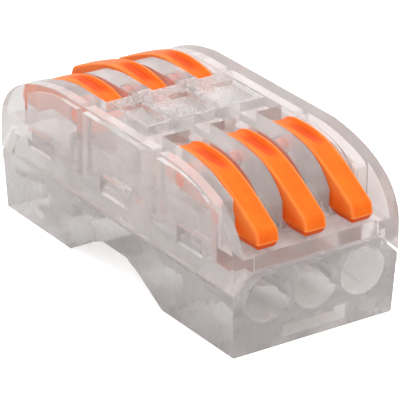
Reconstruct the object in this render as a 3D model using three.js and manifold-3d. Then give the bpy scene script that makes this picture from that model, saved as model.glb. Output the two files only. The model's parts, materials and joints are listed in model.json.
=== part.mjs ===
// Inline lever wire connector: three poles, with one lever clamp at each end of each pole.
// Millimetres, +Z up. X runs along the wires, the front ports face +X, and Y runs across the poles.
// The origin is on the surface that the feet stand on, under the middle of the body.
import * as THREE from 'three';
import { mergeVertices } from 'three/addons/utils/BufferGeometryUtils.js';
import Module from 'manifold-3d';

const wasm = await Module();
wasm.setup();

// ---- driving dimensions ----
const LENGTH = 41.2; // upper housing, end to end
const WIDTH = 18.8; // upper housing, side to side
const HEIGHT = 16.3; // feet to top
const SPLIT_Z = 6.4; // parting line between the two housings
const GAP = 0.3; // clearance between pieces that meet
const PAST = 1.0; // how far a cutter runs past the face that it opens
const POLE_PITCH = 5.35; // from one wire port to the next
const POLES = [-1, 0, 1];
const ENDS = [{ name: 'front', side: 1 }, { name: 'rear', side: -1 }];

// lower housing
const BASE_LENGTH = 41.0;
const BASE_WIDTH = 18.7;
const LEAN = 0.3; // how far each side and end leans in towards the feet
const UPSTAND = { top: 8.25, x: 18.9, half: 8.3 }; // plug that stands up inside the upper housing
const SHOULDER = 2.0; // 45 degree corners where the end wall rises between the cheeks
const NOTCH = { foot: 8.2, knee: [4.3, 2.25], flat: [2.1, 3.2] }; // arch under the middle
const PORT = { z: 5.3, rim: 2.6, mouth: 2.4, throat: 1.8 };
const PORT_X = { face: 20.6, rim: 20.2, mouth: 19.2, throat: 16.4, end: 13.5 };
const END_POCKET = { half: 3.6, z: [0.8, 2.35], depth: 2.1 };
const SPRING_PIT = { x: [9.8, 13.7], z: 2.5 }; // room for the spring's leg to move down
const WIRE_STOP = { x: 5.2, z: 4.0 }; // where the bare end of the wire comes to rest

// upper housing
const OUTER_WALL = 0.8;
const ROOF_Z = UPSTAND.top + GAP;
const CHEEK_END = [[10.0, HEIGHT], [14.6, 15.8], [LENGTH / 2, 14.2], [LENGTH / 2, 9.2]]; // rounded cheek ends
const CHEEK_INNER = 7.05; // half distance between the cheeks, where the lever tips lie
const LEDGE = { x: 20.3, z: 10.0 }; // front edge and top of the ledge under the lever tips
const RIB_END = [[10.0, HEIGHT], [14.0, 16.1], [16.9, 14.7], [18.05, LEDGE.z]]; // rounded end of the ribs
const SLOT = { half: 1.475, start: 4.95, floor: 11.75, floorEnd: 14.2, rampEnd: 17.0 };
const CHAMBER = { x: [2.1, 12.7], top: 14.2 }; // room for the clamp under each lever
const CORE = { inner: 7.55, skin: 1.0, x: [7.0, 16.2], middle: 6.0 }; // thin hollows in the cheeks
const TIP_ROOM = { x: 17.0, half: 8.3 }; // the cheeks step outwards beside the lever tips, for a finger
const WELL = { x: [-3.0, 1.9], half: 1.2, depth: 0.5 }; // shallow wells between the two lever rows
const BOSS = { halfX: 1.5, halfY: 1.1 }; // presses the busbar down

// snap tabs on the lower housing, in windows of the upper one
const SNAP = { x: [-13.3, 0, 13.3], tabHalf: 1.8, inner: 7.85, outer: 8.35, top: 10.0 };
const WINDOW = { half: 2.1, z: [8.4, 10.3] };
const NOSE = { top: 9.9, tipZ: 9.15, catchZ: WINDOW.z[0] + GAP, reach: 9.2 };

// levers; the pivot is in the XZ plane of the front end
const PIVOT = [9.2, 13.6];
const LEVER_HALF = 1.25;
const LIFTED = { front: [0, 0, 0], rear: [3, 7.5, 6] }; // degrees that each pole's lever stands up from closed
const STUB = { radius: 0.8, reach: 2.15 };
const BORE = { radius: 0.95, reach: 2.45 };
const LEVER_TOP = [[-0.2, 2.6], [3.2, 2.7], [5.2, 1.9], [10.2, -1.1]]; // from over the pivot to the tip
const TROUGH = { radius: 1.35, depth: 0.28, x: [-3.4, 0.45, 4.3], z: [1.45, 2.95, 1.95] };

// busbar and clamp spring
const BAR = { z: [5.9, 6.5], half: 1.1, end: 12.8, tongueStart: 9.9, tongueHalf: 0.65 };
const STRIP = 0.35; // spring steel thickness
const SPRING_HALF = 1.15;
const LOOP = { x: 4.9, top: 11.02, foot: BAR.z[1] + GAP + STRIP / 2, footEnd: 9.2 };
const LEG = { x: 11.2, bend: 0.9, bottom: 4.9, windowHalf: 0.87, window: [5.55, 9.1] };

// ---- materials ----
const clearPlastic = new THREE.MeshStandardMaterial({
  color: 0xd8d8d6, roughness: 0.12, metalness: 0, transparent: true, opacity: 0.35,
});
const orangePlastic = new THREE.MeshStandardMaterial({ color: 0xff7418, roughness: 0.35, metalness: 0 });
const springSteel = new THREE.MeshStandardMaterial({ color: 0x9b9d9e, roughness: 0.3, metalness: 1 });
const tinnedCopper = new THREE.MeshStandardMaterial({ color: 0xb9bab6, roughness: 0.4, metalness: 1 });

// ---- solids ----
function solid(geometry) {
  geometry.deleteAttribute('normal');
  geometry.deleteAttribute('uv');
  const merged = mergeVertices(geometry, 1e-5);
  return new wasm.Manifold(new wasm.Mesh({
    numProp: 3,
    vertProperties: new Float32Array(merged.attributes.position.array),
    triVerts: new Uint32Array(merged.index.array),
  }));
}

function geometryOf(shape) {
  const mesh = shape.getMesh();
  const geometry = new THREE.BufferGeometry();
  geometry.setAttribute('position', new THREE.BufferAttribute(mesh.vertProperties, 3));
  geometry.setIndex(new THREE.BufferAttribute(mesh.triVerts, 1));
  geometry.computeVertexNormals();
  return geometry;
}

// An outline of [u, v] points, extruded by depth along the third direction.
function extrude(points, depth, u, v, w, start) {
  const outline = new THREE.Shape(points.map(([a, b]) => new THREE.Vector2(a, b)));
  const geometry = new THREE.ExtrudeGeometry(outline, { depth, bevelEnabled: false });
  geometry.applyMatrix4(new THREE.Matrix4().makeBasis(u, v, w));
  geometry.translate(...start);
  return solid(geometry);
}

const X = new THREE.Vector3(1, 0, 0);
const Y = new THREE.Vector3(0, 1, 0);
const Z = new THREE.Vector3(0, 0, 1);

// points are [x, z]
function prismAlongY(points, y0, y1) {
  return extrude(points, y1 - y0, X, Z, Y.clone().negate(), [0, y1, 0]);
}

// points are [y, z]
function prismAlongX(points, x0, x1) {
  return extrude(points, x1 - x0, Y, Z, X, [x0, 0, 0]);
}

// points are [x, y]
function prismAlongZ(points, z0, z1) {
  return extrude(points, z1 - z0, X, Y, Z, [0, 0, z0]);
}

function box(xs, ys, zs) {
  const geometry = new THREE.BoxGeometry(xs[1] - xs[0], ys[1] - ys[0], zs[1] - zs[0]);
  geometry.translate((xs[0] + xs[1]) / 2, (ys[0] + ys[1]) / 2, (zs[0] + zs[1]) / 2);
  return solid(geometry);
}

function cylinderAlongY(radius, x, z, y0, y1, sides = 20) {
  const geometry = new THREE.CylinderGeometry(radius, radius, y1 - y0, sides);
  geometry.translate(x, (y0 + y1) / 2, z);
  return solid(geometry);
}

function arc([cx, cz], radius, fromDeg, toDeg, steps) {
  const points = [];
  for (let i = 0; i <= steps; i += 1) {
    const angle = THREE.MathUtils.degToRad(fromDeg + (toDeg - fromDeg) * i / steps);
    points.push([cx + radius * Math.cos(angle), cz + radius * Math.sin(angle)]);
  }
  return points;
}

// A cubic Bezier curve with its four [u, v] control points, moved to its right by inset.
function bezier(corners, steps, inset = 0) {
  const curve = new THREE.CubicBezierCurve(...corners.map(([u, v]) => new THREE.Vector2(u, v)));
  return Array.from({ length: steps + 1 }, (_, i) => {
    const place = curve.getPoint(i / steps);
    const along = curve.getTangent(i / steps);
    return [place.x + along.y * inset, place.y - along.x * inset];
  });
}

const mirrored = (points, side) => points.map(([u, z]) => [side * u, z]);
const around = (centre, half) => [centre - half, centre + half];
const sided = (range, side) => range.map((x) => side * x).sort((a, b) => a - b);

// ---- upper housing ----
function upperOutline() {
  const bottom = SPLIT_Z + GAP / 2;
  const right = bezier(CHEEK_END, 16);
  const left = mirrored(right, -1).reverse();
  return [[-LENGTH / 2, bottom], ...left, ...right, [LENGTH / 2, bottom]];
}

// Takes the space between the cheeks down to the ribs, and to the ledge under the lever tips.
function betweenCheeks(side) {
  const outside = LENGTH / 2 + PAST;
  const above = HEIGHT + PAST;
  const outline = [
    ...bezier(RIB_END, 14), [LEDGE.x, LEDGE.z], [LEDGE.x, UPSTAND.top],
    [outside, UPSTAND.top], [outside, above], [RIB_END[0][0], above],
  ];
  return prismAlongY(mirrored(outline, side), -CHEEK_INNER, CHEEK_INNER);
}

// The slot that a lever lies and swings in. Its floor follows the lever's underside.
function leverSlot(side, y) {
  const outside = LENGTH / 2 + PAST;
  const above = HEIGHT + PAST;
  const outline = [
    [SLOT.start, above], [SLOT.start, SLOT.floor], [SLOT.floorEnd, SLOT.floor], [SLOT.rampEnd, LEDGE.z],
    [outside, LEDGE.z], [outside, above],
  ];
  return prismAlongY(mirrored(outline, side), y - SLOT.half, y + SLOT.half);
}

// Room for the lower housing's end wall, with a 45 degree corner at each cheek.
function endWallSpace(side) {
  const top = WIDTH / 2 - SHOULDER;
  const drop = SHOULDER + PAST;
  const outline = [[-top - drop, ROOF_Z - drop], [-top, ROOF_Z], [top, ROOF_Z], [top + drop, ROOF_Z - drop]];
  return prismAlongX(outline, ...sided([UPSTAND.x, LENGTH / 2 + PAST], side));
}

function cheekCore(side, sign) {
  const [start, end] = CORE.x;
  const ys = sided([CORE.inner, WIDTH / 2 - OUTER_WALL], sign);
  const outline = [
    [start, UPSTAND.top], [start, HEIGHT - CORE.skin], ...bezier(CHEEK_END, 12, CORE.skin),
    [LENGTH / 2 - CORE.skin, UPSTAND.top],
  ];
  const limits = box(sided([start, end], side), ys, [UPSTAND.top, HEIGHT]);
  return prismAlongY(mirrored(outline, side), ...ys).intersect(limits);
}

function upperHousing() {
  const inner = WIDTH / 2 - OUTER_WALL;
  let body = prismAlongY(upperOutline(), -WIDTH / 2, WIDTH / 2);
  body = body.subtract(box(around(0, UPSTAND.x + GAP), around(0, inner), [0, ROOF_Z]));
  for (const { side } of ENDS) {
    body = body.subtract(betweenCheeks(side));
    const tipRoom = sided([TIP_ROOM.x, LENGTH / 2 + PAST], side);
    body = body.subtract(box(tipRoom, around(0, TIP_ROOM.half), [LEDGE.z, HEIGHT + PAST]));
    body = body.subtract(endWallSpace(side));
    for (const pole of POLES) {
      const y = pole * POLE_PITCH;
      body = body.subtract(box(sided(CHAMBER.x, side), around(y, SLOT.half), [UPSTAND.top, CHAMBER.top]));
      body = body.subtract(leverSlot(side, y));
      body = body.subtract(cylinderAlongY(BORE.radius, side * PIVOT[0], PIVOT[1], ...around(y, BORE.reach)));
    }
    for (const sign of [-1, 1]) body = body.subtract(cheekCore(side, sign));
  }
  for (const sign of [-1, 1]) {
    const core = sided([CORE.inner, inner], sign);
    const wall = sided([inner - GAP, WIDTH / 2 + PAST], sign);
    body = body.subtract(box(around(0, CORE.middle), core, [UPSTAND.top, HEIGHT - CORE.skin]));
    for (const x of SNAP.x) body = body.subtract(box(around(x, WINDOW.half), wall, WINDOW.z));
  }
  for (const pole of POLES) {
    const y = pole * POLE_PITCH;
    body = body.subtract(box(WELL.x, around(y, WELL.half), [HEIGHT - WELL.depth, HEIGHT + PAST]));
    body = body.add(box(around(0, BOSS.halfX), around(y, BOSS.halfY), [BAR.z[1] + GAP, ROOF_Z + GAP]));
  }
  return body;
}

// ---- lower housing ----
function lowerOutline() {
  const top = SPLIT_Z - GAP / 2;
  const half = BASE_LENGTH / 2;
  const arch = [[NOTCH.foot, 0], NOTCH.knee, NOTCH.flat];
  return [[-half, 0], [-half, top], [half, top], [half, 0], ...arch, ...mirrored(arch, -1).reverse()];
}

// The end wall rises between the cheeks of the upper housing, and its shoulders slope at 45 degrees.
function endWall(side) {
  const top = SPLIT_Z - GAP / 2;
  const half = BASE_WIDTH / 2;
  const narrow = half - SHOULDER;
  const outline = [
    [-half, top - PAST], [-half, top], [-narrow, UPSTAND.top], [narrow, UPSTAND.top], [half, top],
    [half, top - PAST],
  ];
  return prismAlongX(outline, ...sided([UPSTAND.x, BASE_LENGTH / 2], side));
}

// A wire port: a lead-in rim, a funnel and a throat, turned about a line along X.
function wirePort(side, y) {
  const profile = [
    [0, PORT_X.end], [PORT.throat, PORT_X.end], [PORT.throat, PORT_X.throat],
    [PORT.mouth, PORT_X.mouth], [PORT.mouth, PORT_X.rim], [PORT.rim, PORT_X.face], [0, PORT_X.face],
  ];
  const geometry = new THREE.LatheGeometry(profile.map(([r, x]) => new THREE.Vector2(r, x)), 32);
  geometry.rotateZ(-side * Math.PI / 2);
  geometry.translate(0, y, PORT.z);
  return solid(geometry);
}

// The chamber under a lever: busbar seat, wire stop, and the pit for the spring's leg.
function wireChamber(side, y) {
  const top = UPSTAND.top + PAST;
  const seat = BAR.z[0] - GAP;
  const outline = [
    [CHAMBER.x[0], top], [CHAMBER.x[0], seat], [WIRE_STOP.x, seat], [WIRE_STOP.x, WIRE_STOP.z],
    [SPRING_PIT.x[0], WIRE_STOP.z], [SPRING_PIT.x[0], SPRING_PIT.z], [SPRING_PIT.x[1], SPRING_PIT.z],
    [SPRING_PIT.x[1], top],
  ];
  return prismAlongY(mirrored(outline, side), ...around(y, SLOT.half));
}

function snapTab(x, sign) {
  const root = SNAP.outer - 0.2;
  const wedge = [[root, NOSE.top], [NOSE.reach, NOSE.tipZ], [NOSE.reach, NOSE.catchZ], [root, NOSE.catchZ]];
  const nose = prismAlongX(mirrored(wedge, sign), ...around(x, SNAP.tabHalf));
  const ys = sided([SNAP.inner, SNAP.outer], sign);
  return nose.add(box(around(x, SNAP.tabHalf), ys, [UPSTAND.top - PAST, SNAP.top]));
}

function lowerHousing() {
  const top = SPLIT_Z - GAP / 2;
  const half = BASE_WIDTH / 2;
  const end = BASE_LENGTH / 2;
  const leaning = (reach) => [[LEAN - reach, 0], [-reach, top], [reach, top], [reach - LEAN, 0]];
  let body = prismAlongY(lowerOutline(), -half, half);
  body = body.intersect(prismAlongX(leaning(half), -end - PAST, end + PAST));
  body = body.intersect(prismAlongY(leaning(end), -half - PAST, half + PAST));
  body = body.add(box(around(0, UPSTAND.x), around(0, UPSTAND.half), [top - PAST, UPSTAND.top]));
  for (const { side } of ENDS) body = body.add(endWall(side));
  for (const x of SNAP.x) {
    for (const sign of [-1, 1]) body = body.add(snapTab(x, sign));
  }
  for (const pole of POLES) {
    const y = pole * POLE_PITCH;
    const channel = [BAR.z[0] - GAP, UPSTAND.top + PAST];
    body = body.subtract(box(around(0, CHAMBER.x[0] + PAST), around(y, BAR.half + GAP / 2), channel));
    for (const { side } of ENDS) {
      body = body.subtract(wireChamber(side, y));
      body = body.subtract(wirePort(side, y));
    }
  }
  for (const { side } of ENDS) {
    const xs = sided([end - END_POCKET.depth, end + PAST], side);
    body = body.subtract(box(xs, around(0, END_POCKET.half), END_POCKET.z));
  }
  return body;
}

// ---- lever, with its pivot at the origin and its tip towards +X ----
function leverOutline() {
  return [
    [-3.3, -0.75], [-3.3, 1.2], [-3.09, 1.84], [-2.49, 2.28], [-1.53, 2.54], // cam and inner end
    ...bezier(LEVER_TOP, 9),
    [10.75, -1.5], [11.0, -2.0], [11.15, -2.65], // finger tip
    [10.8, -3.3], [8.5, -3.35], [7.75, -3.05], [5.2, -1.6], [-1.2, -1.55], // underside
  ];
}

// Shallow groove along the hinge half of the lever's top, which runs out towards the tip.
function leverTrough() {
  const lift = TROUGH.radius - TROUGH.depth;
  const points = TROUGH.x.map((x, i) => new THREE.Vector3(x, 0, TROUGH.z[i] + lift));
  const path = new THREE.QuadraticBezierCurve3(...points);
  const section = new THREE.Shape().absarc(0, 0, TROUGH.radius, 0, 2 * Math.PI, false);
  return solid(new THREE.ExtrudeGeometry(section, { steps: 8, curveSegments: 10, extrudePath: path }));
}

function lever() {
  let body = prismAlongY(leverOutline(), -LEVER_HALF, LEVER_HALF);
  body = body.subtract(leverTrough());
  return body.add(cylinderAlongY(STUB.radius, 0, 0, -STUB.reach, STUB.reach, 16));
}

// ---- clamp spring: foot on the busbar, loop, top leaf under the lever's cam, leg with a window ----
function springPath() {
  const radius = (LOOP.top - LOOP.foot) / 2;
  return [
    [LOOP.footEnd, LOOP.foot],
    ...arc([LOOP.x, LOOP.foot + radius], radius, 270, 90, 14),
    ...arc([LEG.x - LEG.bend, LOOP.top - LEG.bend], LEG.bend, 90, 0, 5),
    [LEG.x, LEG.bottom],
  ];
}

// Both faces of a strip that follows a path, as one closed outline.
function stripOutline(path, thickness) {
  const face = (offset) => path.map(([x, z], i) => {
    const before = path[Math.max(i - 1, 0)];
    const after = path[Math.min(i + 1, path.length - 1)];
    const along = new THREE.Vector2(after[0] - before[0], after[1] - before[1]).normalize();
    return [x - along.y * offset, z + along.x * offset];
  });
  return [...face(thickness / 2), ...face(-thickness / 2).reverse()];
}

function clampSpring() {
  const strip = prismAlongY(stripOutline(springPath(), STRIP), -SPRING_HALF, SPRING_HALF);
  const window = box(around(LEG.x, 1), around(0, LEG.windowHalf), LEG.window);
  return strip.subtract(window);
}

// ---- busbar: one flat strip per pole, narrow where it passes through the spring windows ----
function busbar() {
  const corner = [[BAR.tongueStart, BAR.half], [BAR.tongueStart, BAR.tongueHalf], [BAR.end, BAR.tongueHalf]];
  const front = [...corner, ...corner.map(([x, y]) => [x, -y]).reverse()];
  const rear = front.map(([x, y]) => [-x, -y]);
  return prismAlongZ([...front, ...rear], ...BAR.z);
}

// ---- assembly ----
const group = new THREE.Group();

function place(name, geometry, material, position = [0, 0, 0], side = 1, lift = 0) {
  const mesh = new THREE.Mesh(geometry, material);
  mesh.name = name;
  mesh.position.set(...position);
  mesh.rotation.set(0, -side * THREE.MathUtils.degToRad(lift), side > 0 ? 0 : Math.PI);
  group.add(mesh);
}

place('lower_housing', geometryOf(lowerHousing()), clearPlastic);
place('upper_housing', geometryOf(upperHousing()), clearPlastic);

const leverGeometry = geometryOf(lever());
const springGeometry = geometryOf(clampSpring());
const barGeometry = geometryOf(busbar());

for (const pole of POLES) {
  const y = pole * POLE_PITCH;
  const number = pole + 2;
  place(`busbar_${number}`, barGeometry, tinnedCopper, [0, y, 0]);
  for (const { name, side } of ENDS) {
    const pivot = [side * PIVOT[0], y, PIVOT[1]];
    place(`${name}_lever_${number}`, leverGeometry, orangePlastic, pivot, side, LIFTED[name][pole + 1]);
    place(`${name}_clamp_spring_${number}`, springGeometry, springSteel, [0, y, 0], side);
  }
}

export default group;
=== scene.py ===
# Looks of the lever wire connector: clear housings, orange levers, spring clips and busbars.
# Sizes are in millimetres unless a comment says otherwise, and MM turns them into Blender's metres.
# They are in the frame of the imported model: +X along the wires, +Y across the poles, +Z up.
import json
import math

import bmesh
import bpy
from mathutils import Matrix, Vector


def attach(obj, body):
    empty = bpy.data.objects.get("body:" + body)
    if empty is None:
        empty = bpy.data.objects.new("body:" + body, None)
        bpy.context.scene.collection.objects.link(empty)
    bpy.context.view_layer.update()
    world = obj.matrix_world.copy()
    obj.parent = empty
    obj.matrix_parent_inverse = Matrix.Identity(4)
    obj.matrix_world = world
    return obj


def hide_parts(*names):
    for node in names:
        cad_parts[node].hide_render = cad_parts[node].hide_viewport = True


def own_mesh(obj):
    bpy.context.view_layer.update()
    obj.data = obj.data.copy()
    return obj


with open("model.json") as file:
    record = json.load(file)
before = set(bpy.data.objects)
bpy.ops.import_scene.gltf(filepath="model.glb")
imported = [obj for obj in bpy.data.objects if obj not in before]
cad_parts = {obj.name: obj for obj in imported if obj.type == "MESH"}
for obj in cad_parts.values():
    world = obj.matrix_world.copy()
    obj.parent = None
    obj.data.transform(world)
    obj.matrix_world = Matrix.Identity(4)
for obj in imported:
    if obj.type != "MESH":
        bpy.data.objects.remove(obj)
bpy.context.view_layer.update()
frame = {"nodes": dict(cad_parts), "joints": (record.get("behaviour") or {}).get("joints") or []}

MM = 0.001
scene = bpy.context.scene
ENDS = {"front": 1, "rear": -1}  # which way along X each end faces
PITCH = 5.35
POLES = {1: -PITCH, 2: 0.0, 3: PITCH}  # places across the housing
HINGES = {joint["child"]: joint for joint in frame["joints"]}


# ---- camera ----
AZIMUTH = 56.015  # degrees, from -Y towards +X
ELEVATION = 24.594  # degrees
ROLL = 0.296  # degrees
DISTANCE = 327.8
TARGET = (0.632, 0.338, 6.269)
LENS = 303.41
SENSOR_WIDTH = 36


def make_camera():
    azimuth = math.radians(AZIMUTH)
    elevation = math.radians(ELEVATION)
    roll = math.radians(ROLL)
    back = Vector((
        math.sin(azimuth) * math.cos(elevation),
        -math.cos(azimuth) * math.cos(elevation),
        math.sin(elevation),
    ))
    right = (-back).cross(Vector((0, 0, 1))).normalized()
    up = right.cross(-back)
    rolled_right = math.cos(roll) * right + math.sin(roll) * up
    rolled_up = math.cos(roll) * up - math.sin(roll) * right
    data = bpy.data.cameras.new("camera")
    data.sensor_width = SENSOR_WIDTH
    data.lens = LENS
    data.clip_start = 0.01
    data.clip_end = 20
    camera = bpy.data.objects.new("camera", data)
    scene.collection.objects.link(camera)
    place = (Vector(TARGET) + back * DISTANCE) * MM
    turn = Matrix((rolled_right, rolled_up, back)).transposed().to_4x4()
    camera.matrix_world = Matrix.Translation(place) @ turn
    scene.camera = camera


# ---- shader nodes ----
def feed(tree, socket, value):
    """Links another node's output into the socket, or sets the socket to a plain value."""
    if isinstance(value, bpy.types.NodeSocket):
        tree.links.new(value, socket)
    else:
        socket.default_value = value


def node(tree, kind, **values):
    """A new node. Each value goes to the input of that name, with _ for a space, or else to the setting."""
    made = tree.nodes.new(kind)
    for key, value in values.items():
        name = key.replace("_", " ")
        if name in made.inputs:
            feed(tree, made.inputs[name], value)
        else:
            setattr(made, key, value)
    return made


def noise(tree, scale, detail=4.0, roughness=0.5):
    """3D noise in the object's own coordinates; scale is features per millimetre."""
    place = node(tree, "ShaderNodeTexCoord").outputs["Object"]
    made = node(
        tree, "ShaderNodeTexNoise", Vector=place, Scale=scale / MM, Detail=detail, Roughness=roughness)
    return made.outputs["Fac"]


def ramp(tree, factor, low, high, at):
    """A colour that goes from low to high while the factor goes from one end of at to the other."""
    made = node(tree, "ShaderNodeValToRGB", Fac=factor)
    for element, place, colour in zip(made.color_ramp.elements, at, (low, high)):
        element.position = place
        element.color = (*colour, 1)
    return made.outputs[0]


def remap(tree, value, source, target):
    """A value that goes from one end of target to the other as value does from one end of source."""
    names = ("From Min", "From Max", "To Min", "To Max")
    made = node(tree, "ShaderNodeMapRange", Value=value, **dict(zip(names, (*source, *target))))
    return made.outputs["Result"]


def times(tree, one, two):
    made = node(tree, "ShaderNodeMath", operation="MULTIPLY")
    feed(tree, made.inputs[0], one)
    feed(tree, made.inputs[1], two)
    return made.outputs[0]


def between(tree, factor, one, two, kind="FLOAT"):
    """Goes from one to two with the factor; each is a socket or a plain value."""
    return node(tree, "ShaderNodeMix", data_type=kind, Factor=factor, A=one, B=two).outputs["Result"]


def mix_shaders(tree, factor, one, two):
    """The first shader where the factor is 0, the second where it is 1."""
    made = node(tree, "ShaderNodeMixShader")
    for socket, value in zip(made.inputs, (factor, one.outputs[0], two.outputs[0])):
        feed(tree, socket, value)
    return made


def bump(tree, shader, height, strength, distance):
    made = node(tree, "ShaderNodeBump", Strength=strength, Distance=distance * MM, Height=height)
    feed(tree, shader.inputs["Normal"], made.outputs[0])


def principled(name, **values):
    """A new material, its node tree and its main shader, with these inputs set."""
    material = bpy.data.materials.new(name)
    material.use_nodes = True
    tree = material.node_tree
    shader = tree.nodes["Principled BSDF"]
    for key, value in values.items():
        feed(tree, shader.inputs[key.replace("_", " ")], value)
    return material, tree, shader


def show(tree, shader):
    feed(tree, tree.nodes["Material Output"].inputs["Surface"], shader.outputs[0])


# ---- light and floor ----
LAMPS = {  # place and size in metres, power in watts; each faces the object
    "key": {"place": (-0.2, 0.5, 1.0), "size": (1.2, 1.0), "power": 7.6},
    "fill": {"place": (0.6, -0.8, 0.4), "size": (0.8, 0.8), "power": 2.4},
}
SKY_BRIGHTEST = (-0.1, 0.4, 0.91)  # the direction in which the sky is brightest
SKY_SPREAD = (-0.2, 1.0)  # the cosines to that direction between which the strength grows
SKY_STRENGTH = (0.64, 1.13)
PAPER = (0.95, 0.95, 0.95, 1)
PAPER_GLOW = 0.45  # brings the paper up to white
FLAGGED_PAPER = (0.6, 0.6, 0.6, 1)
FLOOR_HALF = 3.0  # metres
FLOOR_GAP = 0.02  # under the feet
BOUNCES = 24  # enough for light to pass through both walls and what lies between them


def area_light(name, place, size, power):
    data = bpy.data.lights.new(name, "AREA")
    data.shape = "RECTANGLE"
    data.size, data.size_y = size
    data.energy = power
    light = bpy.data.objects.new(name, data)
    scene.collection.objects.link(light)
    light.location = place
    light.rotation_euler = (-Vector(place)).to_track_quat("-Z", "Y").to_euler()
    light.visible_glossy = False
    light.visible_transmission = False


def make_world():
    """A soft white studio, brightest above and behind the object."""
    world = bpy.data.worlds.new("studio")
    scene.world = world
    world.use_nodes = True
    tree = world.node_tree
    toward = node(tree, "ShaderNodeVectorMath", operation="DOT_PRODUCT")
    feed(tree, toward.inputs[0], node(tree, "ShaderNodeTexCoord").outputs["Generated"])
    feed(tree, toward.inputs[1], SKY_BRIGHTEST)
    background = tree.nodes["Background"]
    feed(tree, background.inputs["Color"], (1, 1, 1, 1))
    feed(tree, background.inputs["Strength"], remap(tree, toward.outputs["Value"], SKY_SPREAD, SKY_STRENGTH))


def floor_material():
    """White paper to the eye, greyer in what the object mirrors and refracts, as with flags set round it."""
    material, tree, white = principled(
        "paper", Base_Color=PAPER, Roughness=0.9, Emission_Color=(1, 1, 1, 1), Emission_Strength=PAPER_GLOW)
    grey = node(tree, "ShaderNodeBsdfDiffuse", Color=FLAGGED_PAPER)
    seen = node(tree, "ShaderNodeLightPath").outputs["Is Camera Ray"]
    show(tree, mix_shaders(tree, seen, grey, white))
    return material


def make_floor():
    mesh = bpy.data.meshes.new("floor")
    signs = ((-1, -1), (1, -1), (1, 1), (-1, 1))
    mesh.from_pydata([(x * FLOOR_HALF, y * FLOOR_HALF, 0) for x, y in signs], [], [(0, 1, 2, 3)])
    floor = bpy.data.objects.new("floor", mesh)
    scene.collection.objects.link(floor)
    floor.location.z = -FLOOR_GAP * MM
    mesh.materials.append(floor_material())


# ---- materials: colours are linear red, green and blue ----
NARROW = (0.35, 0.65)  # parts of the noise's range that a change of colour or gloss spans
WIDE = (0.3, 0.7)
PLASTIC_INDEX = 1.19
PLASTIC_TINTS = ((0.93, 0.912, 0.905), (0.965, 0.95, 0.945))
PLASTIC_SHADE = (0.965, 0.955, 0.95, 1)  # what is left of the light inside
FROST = {"X": (-5.6, 2.3), "Y": (-6.6, 6.6), "Z": (15.6, 17.0)}  # the field between the two lever rows
FROST_FADE = 0.1  # each side of the field's edges
FROST_ROUGHNESS = 0.5
FROST_TONES = ((0.55, 0.53, 0.525), (0.98, 0.97, 0.965))
FROST_SPECKLE_AND_GLINTS = (0.45, 0.62)  # part of the grain's range over which it goes from the dull tone to the bright: random speckle of the frosting, whose bright specks are painted glints
FROST_SPARKLE = {"source": (0.52, 0.6), "target": (0.25, 0.6)}  # from the grain to the scattered share
METAL_SPREAD = (-0.06, 0.08)  # how far the mottling takes a metal's roughness down and up
ORANGE_ROUGHNESS = (0.3, 0.42)
ORANGE_TONES = ((0.88, 0.13, 0.008), (0.93, 0.175, 0.011))
ORANGE_PAINTED_LIGHT = {"painted_shade": (0.66, 0.06, 0.001, 1), "painted_highlight": (1.0, 0.36, 0.1, 1)}  # painted shade and painted highlight, as each lever's vertices are marked with them


def let_lamps_through(tree, shader, colour):
    """Light from the lamps and the sky reaches what is inside the plastic."""
    open_air = node(tree, "ShaderNodeBsdfTransparent", Color=colour)
    shadow = node(tree, "ShaderNodeLightPath").outputs["Is Shadow Ray"]
    return mix_shaders(tree, shadow, shader, open_air)


def frost_mask(tree):
    """1 on the frosted field, 0 elsewhere, in the housing's own coordinates."""
    split = node(tree, "ShaderNodeSeparateXYZ", Vector=node(tree, "ShaderNodeTexCoord").outputs["Object"])
    mask = None
    for axis, edges in FROST.items():
        for edge, inward in zip(edges, (1, -1)):
            fade = ((edge - inward * FROST_FADE) * MM, (edge + inward * FROST_FADE) * MM)
            part = remap(tree, split.outputs[axis], fade, (0, 1))
            mask = times(tree, mask, part) if mask else part
    return mask


def clear_plastic(name, scatter, tones, roughness, frosted_top=False):
    """scatter: the share of the light that the plastic scatters, in a colour between the two tones."""
    material, tree, shader = principled(name, Transmission_Weight=1.0, IOR=PLASTIC_INDEX)
    tint = ramp(tree, noise(tree, scale=0.18, detail=3.0), *PLASTIC_TINTS, at=NARROW)
    haze = ramp(tree, noise(tree, scale=0.45), *tones, at=NARROW)
    polish = remap(tree, noise(tree, scale=0.6, detail=5.0), WIDE, roughness)
    if frosted_top:
        frost = frost_mask(tree)
        grain = noise(tree, scale=4.5, detail=2.0, roughness=0.7)
        sparkle = remap(tree, grain, **FROST_SPARKLE)
        # the frosted field's random speckle, whose bright specks are painted glints
        speckle_and_glints = ramp(tree, grain, *FROST_TONES, at=FROST_SPECKLE_AND_GLINTS)
        polish = between(tree, frost, polish, FROST_ROUGHNESS)
        scatter = between(tree, frost, scatter, sparkle)
        haze = between(tree, frost, haze, speckle_and_glints, kind="RGBA")
        bump(tree, shader, times(tree, frost, grain), strength=1.0, distance=0.3)
    else:
        bump(tree, shader, noise(tree, scale=0.35, detail=2.0), strength=0.12, distance=0.05)
    feed(tree, shader.inputs["Base Color"], tint)
    feed(tree, shader.inputs["Roughness"], polish)
    veil = node(tree, "ShaderNodeBsdfDiffuse", Color=haze)
    show(tree, let_lamps_through(tree, mix_shaders(tree, scatter, shader, veil), PLASTIC_SHADE))
    return material


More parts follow.
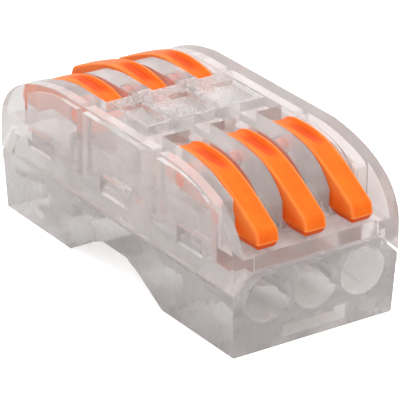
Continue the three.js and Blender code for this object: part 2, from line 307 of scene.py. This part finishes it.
def orange_plastic():
    """Satin nylon, with painted shade in the groove, under the tip and down the flanks, and painted
    highlights along the rounded edges and the crease.
    """
    material, tree, shader = principled(
        "orange_plastic", IOR=1.2,
        Subsurface_Weight=0.12, Subsurface_Radius=(1.0, 0.35, 0.1), Subsurface_Scale=0.5 * MM)
    colour = ramp(tree, noise(tree, scale=0.5, detail=5.0), *ORANGE_TONES, at=WIDE)
    for name, shade in ORANGE_PAINTED_LIGHT.items():
        share = node(tree, "ShaderNodeAttribute", attribute_name=name).outputs["Fac"]
        colour = between(tree, share, colour, shade, kind="RGBA")
    feed(tree, shader.inputs["Base Color"], colour)
    feed(tree, shader.inputs["Roughness"], remap(tree, noise(tree, scale=1.6), WIDE, ORANGE_ROUGHNESS))
    bump(tree, shader, noise(tree, scale=9.0, detail=3.0), strength=0.12, distance=0.02)
    return material


def rolled_metal(name, tones, roughness, grain):
    """Metal strip: streaks of noise, grain features per millimetre along each axis, and a little mottling."""
    material, tree, shader = principled(name, Metallic=1.0)
    place = node(tree, "ShaderNodeTexCoord").outputs["Object"]
    stretched = node(tree, "ShaderNodeMapping", Vector=place, Scale=grain).outputs[0]
    streaks = node(tree, "ShaderNodeTexNoise", Vector=stretched, Scale=1 / MM, Detail=5.0).outputs["Fac"]
    polish = remap(tree, noise(tree, scale=0.8), WIDE, [roughness + change for change in METAL_SPREAD])
    feed(tree, shader.inputs["Base Color"], ramp(tree, streaks, *tones, at=WIDE))
    feed(tree, shader.inputs["Roughness"], polish)
    bump(tree, shader, streaks, strength=0.15, distance=0.02)
    return material


def make_finishes():
    return {
        "clear_plastic": clear_plastic(
            "clear_plastic", scatter=0.33, roughness=(0.14, 0.24),
            tones=((0.64, 0.61, 0.60), (0.70, 0.675, 0.67))),
        "frosted_plastic": clear_plastic(
            "clear_plastic_frosted_top", scatter=0.21, roughness=(0.08, 0.15),
            tones=((0.78, 0.725, 0.71), (0.89, 0.84, 0.825)), frosted_top=True),
        # paler haze on the rounded edges of the housings: a painted highlight along them
        "painted_edge_highlight": clear_plastic(
            "clear_plastic_painted_edge_highlight", scatter=0.32, roughness=(0.09, 0.16),
            tones=((0.80, 0.76, 0.75), (0.90, 0.865, 0.855))),
        "orange_plastic": orange_plastic(),
        "spring_steel": rolled_metal(
            "spring_steel", roughness=0.3, grain=(0.3, 4.0, 0.3),
            tones=((0.47, 0.50, 0.48), (0.69, 0.72, 0.70))),
        "tinned_copper": rolled_metal(
            "tinned_copper", roughness=0.4, grain=(0.4, 2.5, 2.5),
            tones=((0.62, 0.61, 0.58), (0.78, 0.78, 0.76))),
    }


# ---- shapes ----
def bezier(corners, steps):
    """Points on a cubic Bezier curve through four [u, v] control points."""
    points = []
    for i in range(steps + 1):
        t = i / steps
        weights = ((1 - t) ** 3, 3 * t * (1 - t) ** 2, 3 * t * t * (1 - t), t ** 3)
        points.append(tuple(sum(w * c[k] for w, c in zip(weights, corners)) for k in (0, 1)))
    return points


def rounded(corners, steps=5):
    """A closed outline from (u, v, cut) corners; each is rounded off from cut before it to cut after it."""
    ring = []
    for i, (u, v, cut) in enumerate(corners):
        corner = Vector((u, v))
        if cut == 0:
            ring.append(corner)
            continue
        before = Vector(corners[i - 1][:2]) - corner
        after = Vector(corners[(i + 1) % len(corners)][:2]) - corner
        start = corner + before.normalized() * cut
        end = corner + after.normalized() * cut
        for k in range(steps + 1):
            t = k / steps
            ring.append(start * (1 - t) ** 2 + corner * 2 * t * (1 - t) + end * t * t)
    return ring


def smoothstep(value, low, high):
    t = min(max((value - low) / (high - low), 0), 1)
    return t * t * (3 - 2 * t)


def skin(shape, rows):
    """Faces from each closed row of vertices to the next, and over the first and the last row."""
    for one, two in zip(rows, rows[1:]):
        for i in range(len(one)):
            j = (i + 1) % len(one)
            shape.faces.new((one[i], one[j], two[j], two[i]))
    shape.faces.new(rows[0])
    shape.faces.new(rows[-1])


def object_from(name, shape, finish):
    """A scene object from a bmesh in millimetres."""
    bmesh.ops.scale(shape, vec=(MM, MM, MM), verts=shape.verts)
    bmesh.ops.recalc_face_normals(shape, faces=shape.faces)
    mesh = bpy.data.meshes.new(name)
    shape.to_mesh(mesh)
    shape.free()
    made = bpy.data.objects.new(name, mesh)
    scene.collection.objects.link(made)
    mesh.materials.append(finish)
    return made


def modifier(piece, kind, **values):
    made = piece.modifiers.new(kind.lower(), kind)
    for key, value in values.items():
        setattr(made, key, value)


def apply_modifiers(piece):
    bpy.context.view_layer.update()
    depsgraph = bpy.context.evaluated_depsgraph_get()
    mesh = bpy.data.meshes.new_from_object(piece.evaluated_get(depsgraph))
    piece.modifiers.clear()
    piece.data = mesh


def smooth(piece, angle):
    """Shades the piece smooth, apart from edges sharper than the angle in degrees."""
    piece.data.shade_smooth()
    piece.data.set_sharp_from_angle(angle=math.radians(angle))


# ---- levers: from the pivot, tip towards +X ----
LEVER_HALF = 1.25
FILLET = 0.35  # how far in from each side the rounding starts
FILLET_STEPS = 5
FILLET_DROP = 0.16  # how far the outline has shrunk at the side
TIP_DROP = 0.12  # how much more it shrinks at the tip
TIP = (7, 10)  # x from which, and by which, it does
COLUMNS = 8  # across the flat of the lever, to each side of the middle one
COLUMN_WIDTH = 0.1
UPWARD = 0.3  # how far up the outline's normal points where the groove may lie
TROUGH_DEPTH = 0.4
TROUGH_HALF = 0.86
TROUGH_HEEL = 0.35  # share of the depth at the heel end
TROUGH_DEEPENS = (-3.0, 0.5)  # x over which it reaches its depth
TROUGH_RUNS_OUT = (1.6, 4.5)
CREASE_Z = -2.68  # below this the sides lean in
CREASE_BAND = 0.09  # above and below the crease, over which its painted highlight fades
LEAN = 0.1  # share of the width lost to the lean
LEAN_HEIGHT = 0.62  # over which it is lost
TOP_Z = 2.65
TOP_FALL = 0.045  # how far the top has fallen at x of 1, and the power of x that it falls with
TOP_POWER = 1.92
HEEL_X = -2.2  # behind this the top curves down over the heel
STUB_RADIUS = 0.8
STUB_REACH = 2.15
STUB_CHAMFER = 0.14
STUB_SIDES = 40

# Painted light and shade on the levers, where the orange is painted darker (painted shade in the groove,
# under the tip and down the flanks) or paler (painted highlights along the rounded edges and the crease): a
# pair is the range over which it becomes so, and share is the most of it.
TOP_BAND = 0.75  # how far below the top edge still counts as the top
GROOVE_SHADE = {"begins": (-1.8, 0.2), "ends": (3.0, 4.6), "side": (0.3, 0.6), "shift": 0.2, "share": 0.9}
EDGE_HIGHLIGHT = {"side": (0.85, 1.1), "share": 0.4}
UNDER_SHADE = {"from_x": 4, "below": (0.04, 0.1), "share": 0.8}
FLANK_SHADE = {"skin": 0.05, "below": (0.3, 1.2), "share": 0.12}
CREASE_HIGHLIGHT_FROM_X = 6


def lever_outline():
    heel = bezier([(-3.3, 1.2), (-3.28, 2.2), (-2.2, 2.62), (-0.2, 2.62)], 12)
    top = bezier([(-0.2, 2.62), (3.2, 2.7), (5.2, 1.9), (10.2, -1.1)], 30)
    corners = [(-3.3, -0.75, 0.4)]
    corners += [(x, z, 0) for x, z in heel[:-1] + top]
    corners += [(10.95, -1.55, 0.45), (11.17, CREASE_Z, 0.06), (10.8, -3.33, 0.08)]
    corners += [(8.5, -3.35, 0.2), (7.75, -3.05, 0.3), (5.2, -1.6, 0.8), (-1.2, -1.55, 0.6)]
    return rounded(corners)


def lever_top(x):
    """Height of the lever's top edge above the pivot, near enough to tell top from side."""
    if x > HEEL_X:
        return TOP_Z - TOP_FALL * max(x, 0) ** TOP_POWER
    return TOP_Z - (x - HEEL_X) ** 2


def trough_depth(x, y):
    """The groove along the hinge half of the top, which runs out towards the tip."""
    deepening = TROUGH_HEEL + (1 - TROUGH_HEEL) * smoothstep(x, *TROUGH_DEEPENS)
    running_out = 1 - smoothstep(x, *TROUGH_RUNS_OUT)
    across = max(1 - (y / TROUGH_HALF) ** 4, 0)
    return TROUGH_DEPTH * deepening * running_out * across


def lever_columns():
    """(y, share of the rounding) across the lever, from one side to the other."""
    side = []
    for k in range(FILLET_STEPS + 1):
        turn = math.radians(90 * k / FILLET_STEPS)
        side.append((LEVER_HALF - FILLET * (1 - math.cos(turn)), 1 - math.sin(turn)))
    side += [(COLUMN_WIDTH * k, 0) for k in range(COLUMNS, -1, -1)]
    return [(-y, share) for y, share in side[:-1]] + side[::-1]


def lever_shape():
    ring = lever_outline()
    normals = []
    for i in range(len(ring)):
        along = (ring[(i + 1) % len(ring)] - ring[i - 1]).normalized()
        normals.append(Vector((-along.y, along.x)))
    shape = bmesh.new()
    rows = []
    for y, share in lever_columns():
        row = []
        for point, normal in zip(ring, normals):
            inset = (FILLET_DROP + TIP_DROP * smoothstep(point.x, *TIP)) * share
            x = point.x - normal.x * inset
            z = point.y - normal.y * inset
            if normal.y > UPWARD:
                z -= trough_depth(point.x, y)
            row.append(shape.verts.new((x, y, z)))
        rows.append(row)
    skin(shape, rows)
    for height in (CREASE_Z + CREASE_BAND, CREASE_Z, CREASE_Z - CREASE_BAND):
        bmesh.ops.bisect_plane(
            shape, geom=shape.verts[:] + shape.edges[:] + shape.faces[:], dist=1e-5,
            plane_co=(0, 0, height), plane_no=(0, 0, 1),
        )
    for vert in shape.verts:
        drop = min(max((CREASE_Z - vert.co.z) / LEAN_HEIGHT, 0), 1)
        vert.co.y *= 1 - LEAN * drop
    return shape


def paint_light_on_lever(mesh, side):
    """Paints light and shade into the colour: a share of painted shade and of painted highlight for each
    vertex, from where it lies on the lever.
    """
    painted_shade = mesh.attributes.new("painted_shade", "FLOAT", "POINT")
    painted_highlight = mesh.attributes.new("painted_highlight", "FLOAT", "POINT")
    for i, vert in enumerate(mesh.vertices):
        x, y, z = vert.co / MM
        below_top = lever_top(x) - z
        groove_shade, edge, underside_shade, flank_shade, crease_highlight = 0, 0, 0, 0, 0
        # painted shade in the groove, shifted off centre the same way on every lever as a side light would
        # shade it, and painted highlight along the rounded edges of the top
        if below_top < TOP_BAND:
            groove_shade = smoothstep(x, *GROOVE_SHADE["begins"]) * (1 - smoothstep(x, *GROOVE_SHADE["ends"]))
            groove_shade *= 1 - smoothstep(abs(y - GROOVE_SHADE["shift"] * side), *GROOVE_SHADE["side"])
            edge = smoothstep(abs(y), *EDGE_HIGHLIGHT["side"])
        # painted shade under the tip, below the crease
        if x > UNDER_SHADE["from_x"]:
            underside_shade = smoothstep(CREASE_Z - z, *UNDER_SHADE["below"])
        # painted shade down the flanks, darker further below the top
        if abs(y) > LEVER_HALF - FLANK_SHADE["skin"]:
            flank_shade = smoothstep(below_top, *FLANK_SHADE["below"])
        # a painted highlight along the crease
        if x > CREASE_HIGHLIGHT_FROM_X and abs(z - CREASE_Z) < CREASE_BAND / 2:
            crease_highlight = 1
        painted_shade.data[i].value = max(
            GROOVE_SHADE["share"] * groove_shade, UNDER_SHADE["share"] * underside_shade, FLANK_SHADE["share"] * flank_shade)
        painted_highlight.data[i].value = max(EDGE_HIGHLIGHT["share"] * edge, crease_highlight)


def stub_shape():
    """The two pins, as one bar through the lever, with chamfered ends."""
    shape = bmesh.new()
    end_radius = STUB_RADIUS - STUB_CHAMFER
    shoulder = STUB_REACH - STUB_CHAMFER
    profile = [
        (-STUB_REACH, end_radius), (-shoulder, STUB_RADIUS),
        (shoulder, STUB_RADIUS), (STUB_REACH, end_radius),
    ]
    turns = [2 * math.pi * k / STUB_SIDES for k in range(STUB_SIDES)]
    rows = []
    for y, radius in profile:
        rows.append([shape.verts.new((radius * math.cos(a), y, radius * math.sin(a))) for a in turns])
    skin(shape, rows)
    return shape


def lever_mesh(finish):
    arm = object_from("lever_arm", lever_shape(), finish)
    stub = object_from("lever_stub", stub_shape(), finish)
    modifier(arm, "BOOLEAN", operation="UNION", object=stub, solver="EXACT")
    apply_modifiers(arm)
    smooth(arm, angle=32)
    bpy.data.objects.remove(stub)
    mesh = arm.data
    bpy.data.objects.remove(arm)
    return mesh


def add_levers(finish):
    """A hinge's range starts where its lever is closed, so that limit says how far it stands up at rest."""
    mesh = lever_mesh(finish)
    for end, side in ENDS.items():
        for number in POLES:
            cad = f"{end}_lever_{number}"
            piece = bpy.data.objects.new(f"{cad}_arm", mesh.copy())
            scene.collection.objects.link(piece)
            paint_light_on_lever(piece.data, side)
            place = Matrix.Translation(HINGES[cad]["pos_m"])
            turn = Matrix.Rotation(0 if side > 0 else math.pi, 4, "Z")
            lift = Matrix.Rotation(math.radians(HINGES[cad]["range_deg"][0]), 4, "Y")
            piece.data.transform(place @ turn @ lift)
            modifier(piece, "WEIGHTED_NORMAL", keep_sharp=True)
            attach(piece, cad)
            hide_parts(cad)


# ---- clamp springs: one strip from the busbar, round a loop, under the cam and down a slotted leg ----
STRIP = 0.35  # thickness
SPRING_HALF = 1.15
LOOP = {"x": 4.9, "foot": 6.975, "top": 11.02, "foot_end": 9.2, "foot_middle": 7.0, "top_middle": 7.6}
LOOP_STEPS = 24
LEG = {"x": 11.2, "bend": 0.9, "bottom": 4.9, "window": (5.55, 9.1), "window_half": 0.87}
BEND_STEPS = 8
SPRING_BEVEL = 0.07


def spring_path():
    radius = (LOOP["top"] - LOOP["foot"]) / 2
    points = [(LOOP["foot_end"], LOOP["foot"]), (LOOP["foot_middle"], LOOP["foot"])]
    for k in range(LOOP_STEPS + 1):
        turn = math.radians(270 - 180 * k / LOOP_STEPS)
        points.append((LOOP["x"] + radius * math.cos(turn), LOOP["foot"] + radius + radius * math.sin(turn)))
    points.append((LOOP["top_middle"], LOOP["top"]))
    for k in range(BEND_STEPS + 1):
        turn = math.radians(90 - 90 * k / BEND_STEPS)
        x = LEG["x"] - LEG["bend"] + LEG["bend"] * math.cos(turn)
        points.append((x, LOOP["top"] - LEG["bend"] + LEG["bend"] * math.sin(turn)))
    return points + [(LEG["x"], LEG["window"][1]), (LEG["x"], LEG["window"][0]), (LEG["x"], LEG["bottom"])]


def spring_shape(side, pole):
    """The middle surface of the strip, with the window that the busbar passes through left open."""
    path = spring_path()
    columns = (-SPRING_HALF, -LEG["window_half"], LEG["window_half"], SPRING_HALF)
    shape = bmesh.new()
    grid = [[shape.verts.new((side * x, pole + y, z)) for y in columns] for x, z in path]
    window = (len(path) - 3, 1)  # the stretch between its two heights, in the middle column
    for i in range(len(path) - 1):
        for j in range(len(columns) - 1):
            if (i, j) != window:
                shape.faces.new((grid[i][j], grid[i + 1][j], grid[i + 1][j + 1], grid[i][j + 1]))
    return shape


def add_springs(finish):
    for end, side in ENDS.items():
        for number, pole in POLES.items():
            cad = f"{end}_clamp_spring_{number}"
            piece = object_from(f"{cad}_strip", spring_shape(side, pole), finish)
            modifier(piece, "SOLIDIFY", thickness=STRIP * MM, offset=0, use_even_offset=True)
            modifier(piece, "BEVEL", width=SPRING_BEVEL * MM, segments=2,
                     limit_method="ANGLE", angle_limit=math.radians(50))
            apply_modifiers(piece)
            smooth(piece, angle=30)
            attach(piece, "housing")
            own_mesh(piece)
            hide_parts(cad)


# ---- pieces carried over from the CAD, with softened edges ----
def soften(name, width, finish, edge_finish):
    """Rounds the edges; the rounding has a finish of its own, which on the clear housings is a paler haze: a
    painted highlight along the edges.
    """
    piece = frame["nodes"][name]
    piece.data.materials.clear()
    piece.data.materials.append(finish)
    piece.data.materials.append(edge_finish)
    smooth(piece, angle=25)
    modifier(piece, "DECIMATE", decimate_type="DISSOLVE", angle_limit=math.radians(0.5))
    modifier(piece, "BEVEL", width=width * MM, segments=2,
             limit_method="ANGLE", angle_limit=math.radians(28),
             use_clamp_overlap=False, harden_normals=True, material=1)


# ---- the scene ----
scene.view_settings.view_transform = "Standard"
scene.cycles.max_bounces = BOUNCES
scene.cycles.transmission_bounces = BOUNCES
scene.cycles.transparent_max_bounces = BOUNCES
scene.cycles.glossy_bounces = 12
scene.cycles.blur_glossy = 0.3
make_camera()
make_world()
make_floor()
for lamp, values in LAMPS.items():
    area_light(lamp, **values)

finishes = make_finishes()
add_levers(finishes["orange_plastic"])
add_springs(finishes["spring_steel"])
soften("lower_housing", width=0.12, finish=finishes["clear_plastic"], edge_finish=finishes["painted_edge_highlight"])
soften("upper_housing", width=0.15, finish=finishes["frosted_plastic"], edge_finish=finishes["painted_edge_highlight"])
for number in POLES:
    metal = finishes["tinned_copper"]
    soften(f"busbar_{number}", width=0.08, finish=metal, edge_finish=metal)
